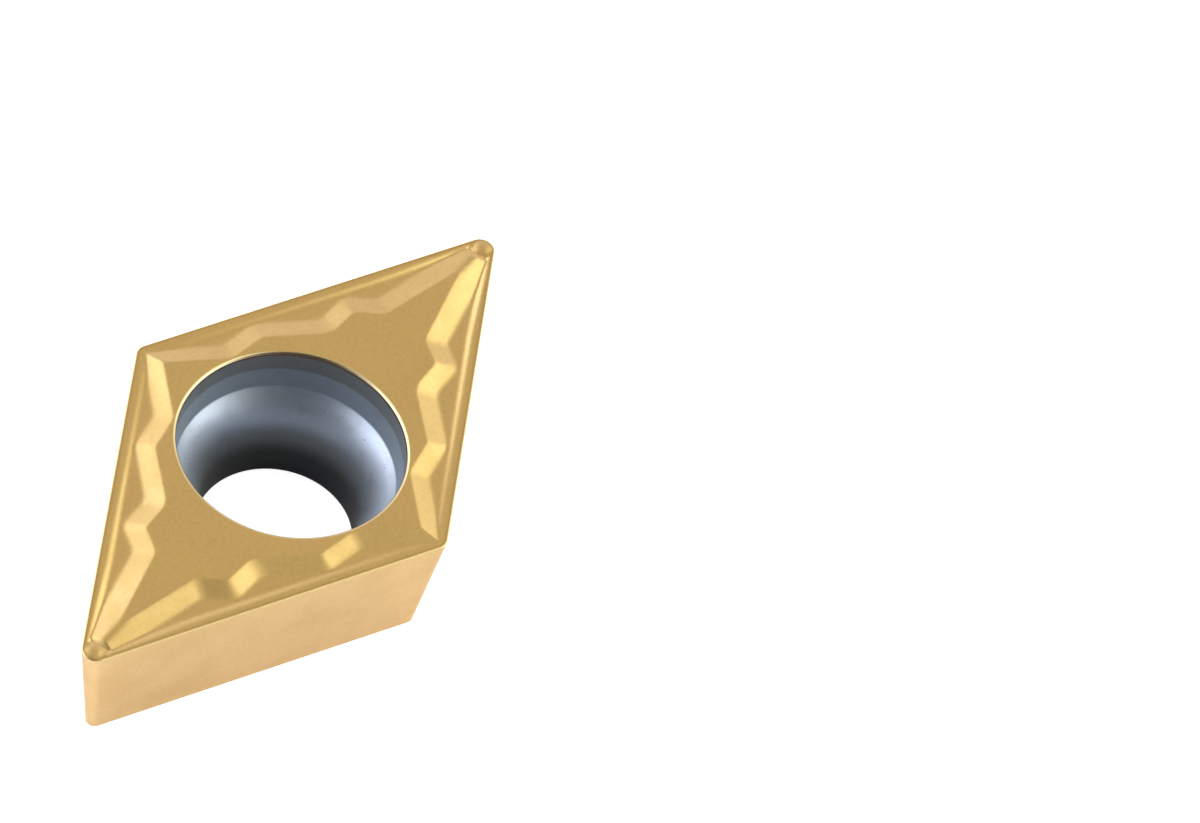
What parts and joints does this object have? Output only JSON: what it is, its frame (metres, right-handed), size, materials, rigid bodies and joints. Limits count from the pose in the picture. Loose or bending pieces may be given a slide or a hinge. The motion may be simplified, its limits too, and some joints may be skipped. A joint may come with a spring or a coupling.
{
  "type": "carbide insert",
  "caption": "Rhombic turning insert of gold-coated carbide, with leaning flanks, a wavy moulded chipbreaker and a belled screw hole.",
  "frame": {"origin": "middle of the seat face, on the axis of the screw hole", "axes": "+Z leaves through the cutting side, +X runs along the long diagonal to an acute corner"},
  "size_m": [0.0196, 0.0106, 0.0041],
  "materials": {
    "coated_carbide": "sintered carbide with a thin gold-coloured nitride coating, fine matt on the moulded faces, uncoated grey in the screw hole"
  },
  "bodies": {
    "root": {"insert": "coated_carbide"}
  },
  "joints": []
}
